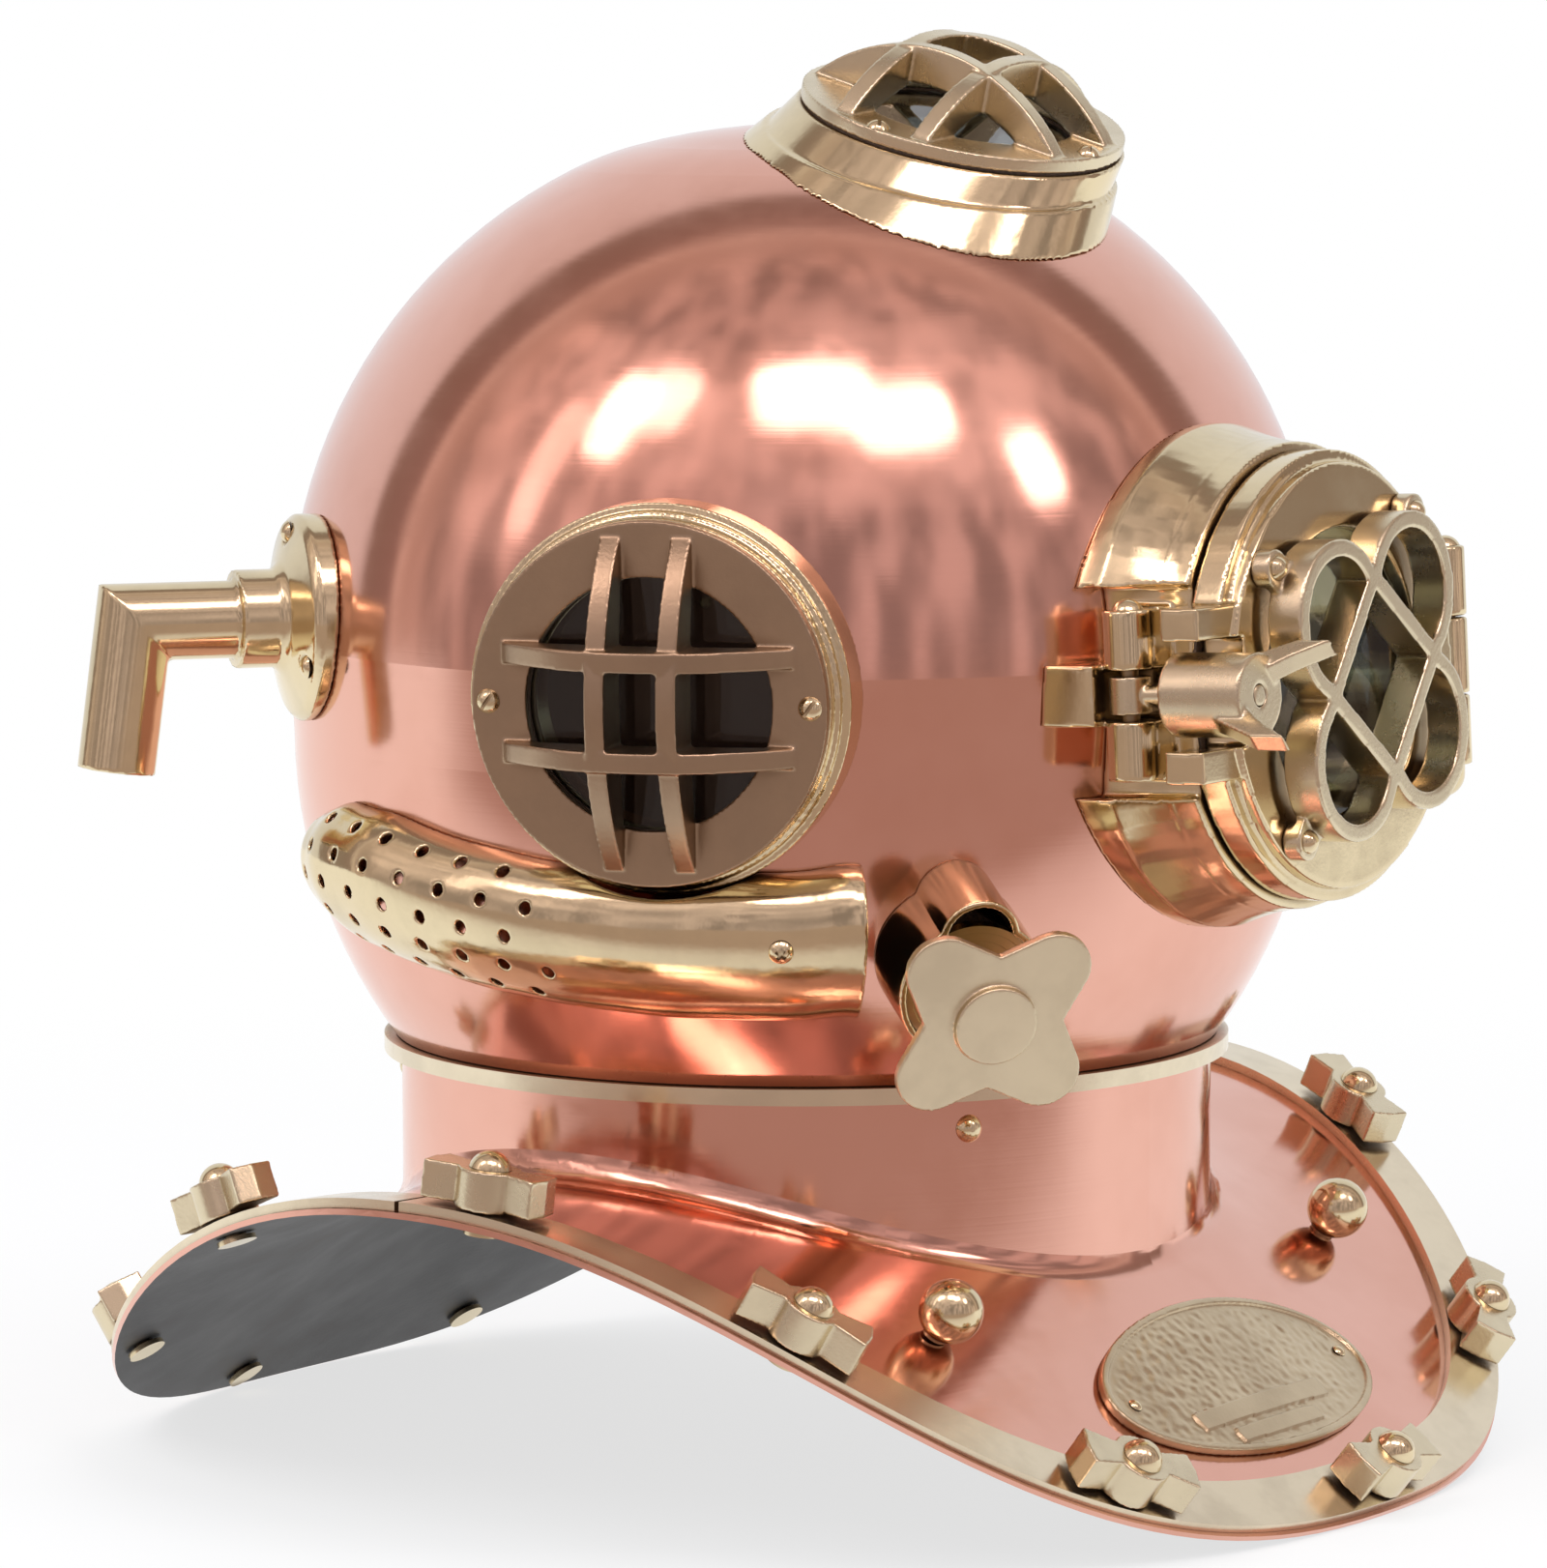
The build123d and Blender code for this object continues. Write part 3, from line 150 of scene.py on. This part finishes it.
def spun_copper(name, colour, worn_colour, roughness, line_depth):
    """Copper with the level lines of a spinning lathe, thumb marks and faint waves."""
    material, shader, place = new_finish(name, Metallic=1, Anisotropic=0.4, Anisotropic_Rotation=0.25)
    line_gap, cloud_size, mark_size, wave_size = 0.0011, 0.09, 0.02, 0.05
    line_stretch, bump_depth, bump_strength = (0.01, 0.01, 1.0), 0.0004, 0.5
    lines = place.stretched(line_stretch).noise(line_gap, detail=2.0)
    clouds, marks = place.noise(cloud_size, detail=4.0), place.noise(mark_size)
    waves = place.noise(wave_size, detail=1.0)
    clouds.between(0.4, 0.7).mix(colour, worn_colour).feed(shader, "Base Color")
    (roughness + 0.05 * marks.between(0.4, 0.7) + 0.05 * lines).feed(shader, "Roughness")
    (lines * line_depth + waves * 0.3).bump(shader, bump_depth, bump_strength)
    return material


def copied(node, ending, *materials):
    """A copy of a piece's mesh that rides with its body and stands for it."""
    source = frame["nodes"][node]
    piece = bpy.data.objects.new(f"{node}_{ending}", source.data.copy())
    scene.collection.objects.link(piece)
    piece.data.materials.clear()
    for material in materials:
        piece.data.materials.append(material)
    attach(piece, source["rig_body"])
    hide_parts(node)
    return piece


slot_of = {part["node"]: part["material_slot"] for part in frame["record"]["subparts"]}
copper = spun_copper("satin_copper", (0.86, 0.475, 0.375, 1), (0.80, 0.42, 0.32, 1),
                     roughness=0.095, line_depth=0.04)
lining, shader, place = new_finish("black_lining")
black_paint, scuffed_paint = (0.012, 0.012, 0.013, 1), (0.028, 0.022, 0.02, 1)
scuff_size, brush_size, brush_depth, brush_strength = 0.03, 0.0012, 0.0003, 0.35
scuffs = place.noise(scuff_size, detail=5.0)
scuffs.between(0.5, 0.75).mix(black_paint, scuffed_paint).feed(shader, "Base Color")
(0.32 + 0.25 * scuffs).feed(shader, "Roughness")
place.noise(brush_size).bump(shader, brush_depth, brush_strength)

breastplate = copied("breastplate", "sheet", copper, lining)
underside_tilt = 0.9
for face in breastplate.data.polygons:
    outwards = Vector((face.center.x, face.center.y, 0)).normalized()
    face.material_index = 0 if face.normal.dot(outwards) + underside_tilt * face.normal.z > 0 else 1


# Neck rings: turned brass, one let into each half and held by small rivets and screws. The upper
# turns an eighth of a turn under the lugs of the lower, on a leather washer.
def brass(name, colour, roughness, tarnish_and_shade, pitting, occlusion_distance=0.005):
    """Cast or rolled brass, buffed where a wheel reaches, and painted brown in the hollows that ambient
    occlusion finds: tarnish there, together with painted shade.
    """
    material, shader, place = new_finish(name, Metallic=1)
    wear_size, pit_size, swirl_size, worn_share = 0.025, 0.0011, 0.014, 0.9
    bump_depth, bump_strength, hollow_brown = 0.0004, 0.45, (0.17, 0.10, 0.05, 1)
    wear, pits = place.noise(wear_size, detail=4.0), place.noise(pit_size)
    swirls = place.noise(swirl_size, detail=1.0)
    # Ambient occlusion browns and roughens the hollows: painted shade, mixed with tarnish.
    shelter = place.add("AmbientOcclusion", {"samples": 8}, {"Distance": occlusion_distance}, output=1)
    shade_and_tarnish = (1 - shelter.between(0.3, 0.85)) * tarnish_and_shade
    worn = wear.between(0.35, 0.7)
    tone = worn.mix(colour, [level * worn_share for level in colour[:3]] + [1])
    shade_and_tarnish.mix(tone, hollow_brown).feed(shader, "Base Color")
    (roughness + 0.07 * worn + 0.3 * shade_and_tarnish + 0.05 * pits).feed(shader, "Roughness")
    (pits * pitting + swirls * 0.25).bump(shader, bump_depth, bump_strength)
    return material


def dress(material, *nodes):
    """Give a finish to pieces that are shown with the mesh they come with."""
    for node in nodes:
        mesh = frame["nodes"][node].data
        mesh.materials.clear()
        mesh.materials.append(material)


polished_brass = brass("polished_brass", (0.82, 0.69, 0.45, 1), roughness=0.08, tarnish_and_shade=0.75, pitting=0.06)
rolled_brass = brass("rolled_brass", (0.84, 0.73, 0.54, 1), roughness=0.16, tarnish_and_shade=0.6, pitting=0.08)
leather, shader, place = new_finish("oiled_leather")
dark_leather, pale_leather = (0.05, 0.03, 0.02, 1), (0.11, 0.065, 0.04, 1)
grain_scale, grain_depth = 900.0, 0.0002
grain = place.add("TexVoronoi", sockets={"Vector": place, "Scale": grain_scale})
grain.between(0.1, 0.8).mix(dark_leather, pale_leather).feed(shader, "Base Color")
(0.5 + 0.2 * grain).feed(shader, "Roughness")
grain.bump(shader, grain_depth)
dress(rolled_brass, "neck_ring", "bonnet_ring")
dress(polished_brass, "bonnet_ring_screws", "breastplate_rivets")
dress(leather, "neck_gasket")


# Rim straps and wing nuts: two rolled straps clamp the diving dress to the rim. Twelve cast nuts
# on studs hold them down, each with buffed faces, soft edges and the stud's domed end above it.
def casting(node, grid, rounds, material):
    """A piece with the softened edges of a buffed casting: its own form, remeshed and smoothed."""
    piece = copied(node, "casting", material)
    remesh = piece.modifiers.new("skin", "REMESH")
    remesh.mode, remesh.voxel_size = "VOXEL", grid
    smooth = piece.modifiers.new("buffing", "SMOOTH")
    smooth.factor, smooth.iterations = 0.5, rounds
    shaped = piece.evaluated_get(bpy.context.evaluated_depsgraph_get())
    mesh = bpy.data.meshes.new_from_object(shaped)
    piece.modifiers.clear()
    piece.data = mesh
    mesh.materials.clear()
    mesh.materials.append(material)
    mesh.shade_smooth()
    return piece


nut_grid, nut_rounds = 0.00045, 4
cast_brass = brass("buffed_casting", (0.78, 0.68, 0.48, 1), roughness=0.2, tarnish_and_shade=0.8, pitting=0.2)
dress(rolled_brass, "front_rim_strap", "back_rim_strap")
dress(polished_brass, "rim_studs")
for nut in sorted(node for node in slot_of if node.startswith("wing_nut_")):
    casting(nut, nut_grid, nut_rounds, cast_brass)


# Nameplate and lanyard balls: an oval cast plate with a raised rim, two plain raised boxes and a
# pebbled field, pinned to the chest. Two turned balls beside it take the helmet's lanyards.
plate_brass = brass("pebbled_plate", (0.66, 0.54, 0.36, 1), roughness=0.26, tarnish_and_shade=0.9, pitting=0.3,
                    occlusion_distance=0.003)
plate_grid, plate_rounds = 0.0005, 2
plate_reach, plate_rise, plate_rim = 0.066, 0.0295, 0.0035
box_lift, pebble_lift, pebble_size, rim_fade = 0.0007, 0.00035, 0.0028, 8
blank_boxes = ((-0.004, -0.012, 0.034, 0.0035), (-0.004, -0.0205, 0.022, 0.0028))
least_rise, least_facing = 0.3, 0.7
plate = casting("nameplate", plate_grid, plate_rounds, plate_brass)
plate_low, plate_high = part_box("nameplate")
plate_middle = (Vector(plate_low) + Vector(plate_high)) / 2
outer_faces = [face for face in plate.data.polygons if face.normal.z > least_rise]
plate_out = sum((face.normal * face.area for face in outer_faces), Vector())
plate_out.normalize()
plate_along = Vector((0, 0, 1)).cross(plate_out).normalized()
plate_up = plate_out.cross(plate_along)
facing_out = [vertex.normal.dot(plate_out) > least_facing for vertex in plate.data.vertices]
for vertex, outer in zip(plate.data.vertices, facing_out):
    spot = vertex.co - plate_middle
    x, y = spot.dot(plate_along), spot.dot(plate_up)
    inside = 1 - (x / (plate_reach - plate_rim)) ** 2 - (y / (plate_rise - plate_rim)) ** 2
    if outer and inside > 0:
        boxed = any(abs(x - left) < wide and abs(y - low) < tall for left, low, wide, tall in blank_boxes)
        pebble = noise.noise(vertex.co / pebble_size) * pebble_lift
        vertex.co += plate_out * (box_lift if boxed else pebble * min(1, inside * rim_fade))
dress(polished_brass, "lanyard_balls")


# Bonnet: one spun copper shell, nearly a globe, with a hole for each port and fitting. Its
# outside is satin polished, and its dull inside shows dark through the glasses.
inner_copper = spun_copper("dull_copper_inside", (0.16, 0.08, 0.06, 1), (0.09, 0.05, 0.04, 1),
                           roughness=0.5, line_depth=0.1)
bonnet = copied("bonnet", "shell", copper, inner_copper)
bonnet_middle = Vector((0, 0, 0.24))
for face in bonnet.data.polygons:
    face.material_index = 0 if face.normal.dot(face.center - bonnet_middle) > 0 else 1


# Side and top ports: cast frames saddled on the copper, a leather washer, plate glass, and a
# guard cast with four deep crossed bars, held by small slotted screws.
glass, shader, place = new_finish("port_glass", Base_Color=(0.42, 0.47, 0.46, 1), Transmission_Weight=1,
                                  IOR=1.45, Specular_IOR_Level=0.3)
film_size = 0.02
(0.02 + 0.05 * place.noise(film_size).between(0.4, 0.8)).feed(shader, "Roughness")
# The side guards get a darker copy of the top guard's cast brass: painted shade on the side guards.
shaded_side_guard_brass = brass("shaded_side_guard_casting", (0.46, 0.34, 0.23, 1), roughness=0.27, tarnish_and_shade=0.8, pitting=0.3,
                    occlusion_distance=0.008)
frame_grid, frame_rounds, guard_grid, guard_rounds = 0.0006, 3, 0.0005, 4
for port in ("right_port", "left_port", "top_port"):
    casting(f"{port}_frame", frame_grid, frame_rounds, polished_brass)
    casting(f"{port}_guard", guard_grid, guard_rounds, cast_brass if port == "top_port" else shaded_side_guard_brass)
    dress(leather, f"{port}_gasket")
    dress(glass, f"{port}_glass")
dress(polished_brass, "port_guard_screws")


# Front port: a heavy cast barrel with hinge knuckles on one side and lugs for the clamp on the
# other. Its wall is polished in one sweep, and is painted brown in the pockets behind the lugs:
# tarnish there, together with painted shade.
barrel_grid, barrel_rounds = 0.0007, 5
barrel_lip, barrel_foot, flare_start, flare_end = 0.0695, 0.0755, 0.0055, 0.0315
wall_band, straight_share, swell_power = 0.0015, 1 / 3, 1.7
barrel = casting("front_port_frame", barrel_grid, barrel_rounds, polished_brass)
glass_low, glass_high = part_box("faceplate_glass")
glass_middle = (Vector(glass_low) + Vector(glass_high)) / 2
joint_named = {joint["name"]: joint for joint in frame["record"]["behaviour"]["joints"]}
front_out = Vector(joint_named["clamp_nut_spin"]["axis"])
for vertex in barrel.data.vertices:
    spot = vertex.co - glass_middle
    depth = -spot.dot(front_out)
    off_axis = spot + front_out * depth
    share = min(max((depth - flare_start) / (flare_end - flare_start), 0), 1)
    cone_share = max((share - straight_share) / (1 - straight_share), 0)
    cone = barrel_lip + (barrel_foot - barrel_lip) * cone_share
    if abs(off_axis.length - cone) < wall_band and 0 < share < 1:
        swell = barrel_lip + (barrel_foot - barrel_lip) * share ** swell_power
        vertex.co += off_axis.normalized() * (swell - cone)
dress(leather, "front_port_gasket")
dress(polished_brass, "faceplate_hinge_pin", "swing_bolt_pin")


# Faceplate: a polished ring with the front glass, and a lobed guard screwed on at four ears.
# A swing bolt with a two-winged barrel nut pulls it shut against its washer.
ring_rounds, bolt_grid, bolt_rounds, clamp_rounds = 4, 0.0005, 3, 5
casting("faceplate_ring", frame_grid, ring_rounds, polished_brass)
casting("faceplate_guard", guard_grid, guard_rounds, cast_brass)
casting("swing_bolt", bolt_grid, bolt_rounds, cast_brass)
casting("clamp_wing_nut", bolt_grid, clamp_rounds, cast_brass)
dress(glass, "faceplate_glass")
dress(polished_brass, "faceplate_guard_screws")


# Exhaust valve: a keyhole-shaped cup with a leather disc, a bronze spring and a bridge for the
# spindle. A flat four-lobed wheel with a pale ground face turns it, and a turned seat lines the cup.
ground_brass = brass("ground_brass", (0.76, 0.66, 0.47, 1), roughness=0.32, tarnish_and_shade=0.5, pitting=0.12)
cup_grid, cup_rounds, wheel_grid = 0.0005, 3, 0.00045
casting("exhaust_valve_body", cup_grid, cup_rounds, polished_brass)
casting("exhaust_handwheel", wheel_grid, cup_rounds, ground_brass)
dress(leather, "exhaust_valve_disc")


def spun_ring(name, body, profile, middle, out, material):
    """A ring turned from an outline of (radius, height) points, on a body."""
    steps, crease = 96, radians(35)
    angles = [radians(360 * i / steps) for i in range(steps)]
    turn = out.to_track_quat("Z", "Y")
    points = [turn @ Vector((radius * cos(angle), radius * sin(angle), height)) + middle
              for angle in angles for radius, height in profile]
    count = len(profile)
    faces = [(i * count + j, (i + 1) % steps * count + j, (i + 1) % steps * count + (j + 1) % count,
              i * count + (j + 1) % count) for i in range(steps) for j in range(count)]
    mesh = bpy.data.meshes.new(name)
    mesh.from_pydata(points, [], faces)
    mesh.materials.append(material)
    mesh.shade_smooth()
    mesh.set_sharp_from_angle(angle=crease)
    ring = bpy.data.objects.new(name, mesh)
    scene.collection.objects.link(ring)
    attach(ring, body)


wheel_joint = joint_named["exhaust_wheel_turn"]
seat_bore, seat_edge, seat_floor = 0.009, 0.0203, -0.0226
seat_steps = ((seat_edge, 0.0182, -0.0192), (0.0178, 0.0152, -0.0202), (0.0148, seat_bore, -0.0212))
seat_outline = [(seat_bore, seat_floor), (seat_edge, seat_floor)]
seat_outline += [(radius, height) for outer, inner, height in seat_steps for radius in (outer, inner)]
spun_ring("exhaust_cup_seat", "bonnet", seat_outline, Vector(wheel_joint["pos_m"]),
          Vector(wheel_joint["axis"]), polished_brass)
dress(polished_brass, "exhaust_valve_spring")


# Exhaust channel: a beaten brass half tube that leads the spent air round to the back, where
# it leaves through rows of small holes. Screws hold it to the bonnet.
channel_grid, channel_rounds = 0.0005, 8
casting("exhaust_channel", channel_grid, channel_rounds, polished_brass)
dress(polished_brass, "fitting_screws")


# Back elbows and spitcock: mitred tubes on domed flanges for the air and the telephone, and a
# small cock by the faceplate whose ball lever lets in water to wipe the glass.
elbow_grid, cock_grid, lever_grid, fitting_rounds = 0.0006, 0.0005, 0.0004, 3
for node in ("air_elbow", "telephone_elbow"):
    casting(node, elbow_grid, fitting_rounds, polished_brass)
casting("spitcock_body", cock_grid, fitting_rounds, polished_brass)
casting("spitcock_lever", lever_grid, fitting_rounds, polished_brass)


# Camera: well away and a little above the rim, on the diver's right of the front, and turned
# slightly aside as the picture is framed. It keeps the photograph's flat view.
camera_azimuth, camera_rise, camera_roll = radians(34.7), radians(6.3), radians(-0.15)
camera_distance, camera_aside, camera_reach = 2.405, 0.01004, 50
camera_aim = Vector((0, 0, 0.2073))
focal_pixels, picture_height, sensor = 8000, 1622, 36.0
upright = Vector((0, 0, 1))
level_to_camera = Vector((-cos(camera_azimuth), -sin(camera_azimuth), 0))
to_camera = level_to_camera * cos(camera_rise) + upright * sin(camera_rise)
camera = bpy.data.objects.new("camera", bpy.data.cameras.new("camera"))
scene.collection.objects.link(camera)
scene.camera = camera
camera.data.sensor_width = sensor
camera.data.lens = focal_pixels * sensor / picture_height
camera.data.clip_end = camera_reach
look = (-to_camera).to_track_quat("-Z", "Y") @ Matrix.Rotation(camera_roll, 3, "Z").to_quaternion()
camera.rotation_mode = "QUATERNION"
camera.rotation_quaternion = look
camera.location = camera_aim + to_camera * camera_distance - look @ Vector((camera_aside, 0, 0))


# Studio: a white floor and backdrop, plain room light, and a room that only the metal mirrors:
# white paper behind, a dark gap round it, warm walls, a brown floor in front and bright windows.
def bearing(azimuth, rise):
    """The level way, and the way, to a spot so many degrees right of the camera and up."""
    right = upright.cross(level_to_camera)
    level = level_to_camera * cos(radians(azimuth)) + right * sin(radians(azimuth))
    return level, level * cos(radians(rise)) + upright * sin(radians(rise))


def seen_directly(wire, rays):
    """1 for rays of the named kinds, and 0 for the light that falls on dull things."""
    seen = 0
    for ray in rays:
        seen = wire.maths("MAXIMUM", seen, wire.add("LightPath", output=f"Is {ray} Ray"))
    return seen


def to_surface(material, wire):
    material.node_tree.links.new(wire.socket, material.node_tree.nodes["Material Output"].inputs["Surface"])


def staged(name, height, make, **sizes):
    """A piece of the studio, made by one of Blender's mesh operators."""
    mesh = bpy.data.meshes.new(name)
    build = bmesh.new()
    make(build, **sizes)
    build.to_mesh(mesh)
    build.free()
    piece = bpy.data.objects.new(name, mesh)
    piece.location.z = height
    scene.collection.objects.link(piece)
    return piece


white, cool_white = (1, 1, 1, 1), (0.93, 0.95, 1, 1)
world = bpy.data.worlds.new("surround")
scene.world = world
world.use_nodes = True
sky = Wire(world.node_tree)
room_light = sky.add("Background", sockets={"Color": cool_white, "Strength": 0.8})
backdrop = sky.add("Background", sockets={"Color": white, "Strength": 1.0})
by_eye = seen_directly(sky, ("Camera", "Glossy", "Transmission"))
both = sky.add("MixShader", sockets={0: by_eye, 1: room_light, 2: backdrop})
world.node_tree.links.new(both.socket, world.node_tree.nodes["World Output"].inputs["Surface"])

floor_radius, floor_sides, floor_drop = 9.0, 96, 0.0002
paper_tone, mirrored_brown = (0.86, 0.86, 0.86, 1), (0.46, 0.35, 0.31, 1)
brown_start, brown_full, fade_start, fade_full, near_glow = 0.05, 0.5, 0.35, 1.1, 0.72
floor = staged("floor", -floor_drop, bmesh.ops.create_circle, cap_ends=True, segments=floor_sides,
               radius=floor_radius)
paper, shader, place = new_finish("white_paper", Base_Color=paper_tone, Roughness=0.9)
away = place.add("VectorMath", {"operation": "LENGTH"}, {0: place}, output=1)
mirrored = place.add("LightPath", output="Is Glossy Ray")
brown_floor = mirrored * place.dot(level_to_camera).between(brown_start, brown_full)
glow = place.add("Emission", sockets={"Color": brown_floor.mix(white, mirrored_brown), "Strength": 1.0})
white_glow = near_glow + (1 - near_glow) * away.between(fade_start, fade_full)
glow_share = brown_floor.maths("MAXIMUM", brown_floor,
                               seen_directly(place, ("Camera", "Glossy")) * white_glow)
lit_paper = Wire(place.tree, shader.outputs[0])
to_surface(paper, place.add("MixShader", sockets={0: glow_share, 1: lit_paper, 2: glow}))
floor.data.materials.append(paper)

room_radius, room_height, room_fineness = 4.0, 0.24, 5
room = staged("room", room_height, bmesh.ops.create_icosphere, subdivisions=room_fineness,
              radius=room_radius)
room.visible_camera = room.visible_diffuse = room.visible_shadow = room.visible_transmission = False
walls, shader, place = new_finish("room_walls")
way = place.add("VectorMath", {"operation": "NORMALIZE"}, {0: place})
behind = way.dot(-level_to_camera)
tones = behind * 0.5 + 0.5
tone = tones.add("ValToRGB", {"stops": [
    (0.0, (0.50, 0.41, 0.41)), (0.45, (0.52, 0.42, 0.40)), (0.575, (0.54, 0.42, 0.37)),
    (0.6, (0.74, 0.62, 0.56)), (0.62, (0.30, 0.22, 0.20)), (0.705, (0.28, 0.22, 0.19)),
    (0.725, (0.78, 0.77, 0.79)), (1.0, (0.86, 0.88, 0.92))]}, {0: tones})
streak_size, streak_stretch, streak_depth, streak_end = 0.11, (1, 1, 0.12), 0.8, 0.15
streaks = way.stretched(streak_stretch).noise(streak_size, detail=2.0).between(0.38, 0.62) - 0.5
streaks = streaks * (1 - behind.between(0.0, streak_end)) * streak_depth + 1
window_softness, window_front = 0.45, 0.1
window_places = (
    (2, 57, 22, 15, 9.0), (30, 50, 20, 14, 8.0), (17, 52, 70, 40, 0.5), (-57, 46, 10, 18, 8.0),
    (-45, 52, 10, 14, 5.0), (-70, 32, 8, 26, 2.0), (-62, 38, 50, 45, 0.4), (61, 34, 10, 14, 8.0))


def window(azimuth, rise, width, height, level):
    """A bright soft-edged oval at a bearing, with its width and height in degrees."""
    flat, facing = bearing(azimuth, rise)
    across = upright.cross(flat)
    up = facing.cross(across)
    x = way.dot(across / radians(width / 2))
    y = way.dot(up / radians(height / 2))
    spread = x * x * x * x + y * y * y * y
    pane = 1 - spread.between(1 - window_softness, 1 + window_softness)
    return pane * way.dot(facing).between(0, window_front) * level


brightness = streaks
for window_place in window_places:
    brightness = brightness + window(*window_place)
lamp = place.add("Emission", sockets={"Color": tone, "Strength": brightness})
to_surface(walls, lamp)
room.data.materials.append(walls)

lamp_distance, lamp_size, lamp_power = 2.4, 1.2, 18
for name, azimuth, rise in (("window_left", -50, 50), ("window_right", 40, 60)):
    light = bpy.data.lights.new(name, "AREA")
    light.size, light.energy = lamp_size, lamp_power
    soft_box = bpy.data.objects.new(name, light)
    to_lamp = bearing(azimuth, rise)[1]
    soft_box.location = to_lamp * lamp_distance
    soft_box.rotation_euler = (-to_lamp).to_track_quat("-Z", "Y").to_euler()
    soft_box.visible_glossy = False
    scene.collection.objects.link(soft_box)
